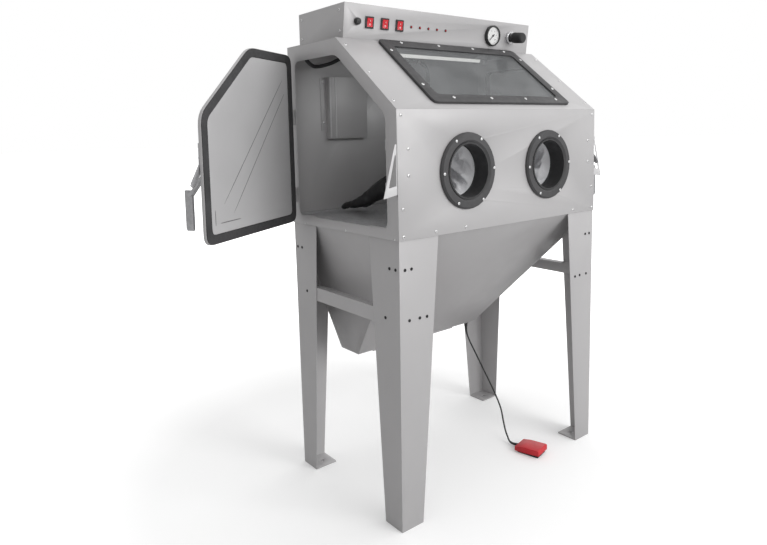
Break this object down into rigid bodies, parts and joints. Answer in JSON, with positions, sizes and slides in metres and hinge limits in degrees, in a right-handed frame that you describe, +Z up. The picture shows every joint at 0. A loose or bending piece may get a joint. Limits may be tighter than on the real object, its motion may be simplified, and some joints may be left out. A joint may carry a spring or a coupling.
{
  "type": "sandblast cabinet",
  "caption": "Floor-standing sandblast cabinet on tapered legs with hopper, sloping window, glove ports, side doors, control box and foot pedal.",
  "frame": {"origin": "on the floor, under the middle of the cabinet's own box with the left door standing open, the pedal and its cord left out", "axes": "+Z up, +Y towards the back wall, +X towards the operator's right"},
  "size_m": [1.5984, 0.6846, 1.675],
  "materials": {
    "paint": "satin light grey",
    "zinc": "dull zinc plate",
    "steel": "bright",
    "rubber": "matt black",
    "plastic": "black",
    "red": "red",
    "glass": "clear, grey tinted",
    "lamp": "opal white tube",
    "glove": "coated fabric, black"
  },
  "bodies": {
    "cabinet": {"front_panel": "paint", "window_panel": "paint", "roof_panel": "paint", "back_panel": "paint", "left_side_panel": "paint", "right_side_panel": "paint", "hopper_front": "paint", "hopper_right": "paint", "hopper_rear": "paint", "hopper_left": "paint", "hopper_floor": "paint", "front_left_leg": "paint", "front_right_leg": "paint", "rear_left_leg": "paint", "rear_right_leg": "paint", "left_brace": "paint", "right_brace": "paint", "left_catch": "paint", "right_catch": "paint", "control_box": "paint", "air_baffle": "paint", "lamp_housing": "paint", "left_interlock": "zinc", "right_interlock": "zinc", "pickup_tube": "zinc", "dust_outlet": "zinc", "regulator_nut": "steel", "work_grate": "steel", "blast_gun": "steel", "air_inlet": "steel", "window_frame": "rubber", "left_glove_ring": "rubber", "right_glove_ring": "rubber", "media_hose": "rubber", "blast_hose": "rubber", "switch_bezel_1": "plastic", "switch_bezel_2": "plastic", "switch_bezel_3": "plastic", "fuse_holder": "plastic", "gauge_case": "plastic", "pedal_base": "plastic", "pedal_cord": "plastic", "cord_gland": "plastic", "window_glass": "glass", "lamp_tube": "lamp", "left_glove": "glove", "right_glove": "glove"},
    "left_door": {"left_door": "paint", "left_door_seal": "rubber"},
    "right_door": {"right_door": "paint", "right_door_seal": "rubber"},
    "left_latch": {"left_latch": "zinc"},
    "right_latch": {"right_latch": "zinc"},
    "rocker_1": {"rocker_1": "red"},
    "rocker_2": {"rocker_2": "red"},
    "rocker_3": {"rocker_3": "red"},
    "regulator_knob": {"regulator_knob": "plastic"},
    "gauge_needle": {"gauge_needle": "plastic"},
    "drain_gate": {"drain_gate": "zinc"},
    "pedal_treadle": {"pedal_treadle": "red"}
  },
  "joints": [
    {"name": "left_door_hinge", "type": "hinge", "parent": "cabinet", "child": "left_door", "pos_m": [-0.29077, 0.247, 1.2], "axis": [0, 0, 1], "range_deg": [-74, 59]},
    {"name": "right_door_hinge", "type": "hinge", "parent": "cabinet", "child": "right_door", "pos_m": [0.72523, 0.247, 1.2], "axis": [0, 0, 1], "range_deg": [0, 133]},
    {"name": "left_latch_pivot", "type": "hinge", "parent": "left_door", "child": "left_latch", "pos_m": [-0.74764, -0.02168, 1.19], "axis": [0.515, -0.8572, 0], "range_deg": [0, 90]},
    {"name": "right_latch_pivot", "type": "hinge", "parent": "right_door", "child": "right_latch", "pos_m": [0.73023, -0.283, 1.19], "axis": [1, 0, 0], "range_deg": [0, 90]},
    {"name": "rocker_1_tilt", "type": "hinge", "parent": "cabinet", "child": "rocker_1", "pos_m": [-0.14477, -0.03016, 1.61828], "axis": [1, 0, 0], "range_deg": [-12, 0]},
    {"name": "rocker_2_tilt", "type": "hinge", "parent": "cabinet", "child": "rocker_2", "pos_m": [-0.07877, -0.03016, 1.61828], "axis": [1, 0, 0], "range_deg": [-12, 0]},
    {"name": "rocker_3_tilt", "type": "hinge", "parent": "cabinet", "child": "rocker_3", "pos_m": [-0.01277, -0.03016, 1.61828], "axis": [1, 0, 0], "range_deg": [-12, 0]},
    {"name": "regulator_turn", "type": "hinge", "parent": "cabinet", "child": "regulator_knob", "pos_m": [0.57123, -0.06088, 1.61415], "axis": [0, -0.9911, -0.1334], "continuous": true},
    {"name": "gauge_sweep", "type": "hinge", "parent": "cabinet", "child": "gauge_needle", "pos_m": [0.46423, -0.03809, 1.61722], "axis": [0, 0.9911, 0.1334], "range_deg": [0, 270], "stiffness_Nm_per_rad": 0.0005, "springref_deg": -17.19},
    {"name": "drain_slide", "type": "slide", "parent": "cabinet", "child": "drain_gate", "axis": [1, 0, 0], "range_m": [0, 0.18]},
    {"name": "pedal_press", "type": "hinge", "parent": "cabinet", "child": "pedal_treadle", "pos_m": [0.41308, -0.20996, 0.014], "axis": [0.9781, 0.2079, 0], "range_deg": [0, 4.5], "stiffness_Nm_per_rad": 2, "springref_deg": -2.86}
  ]
}
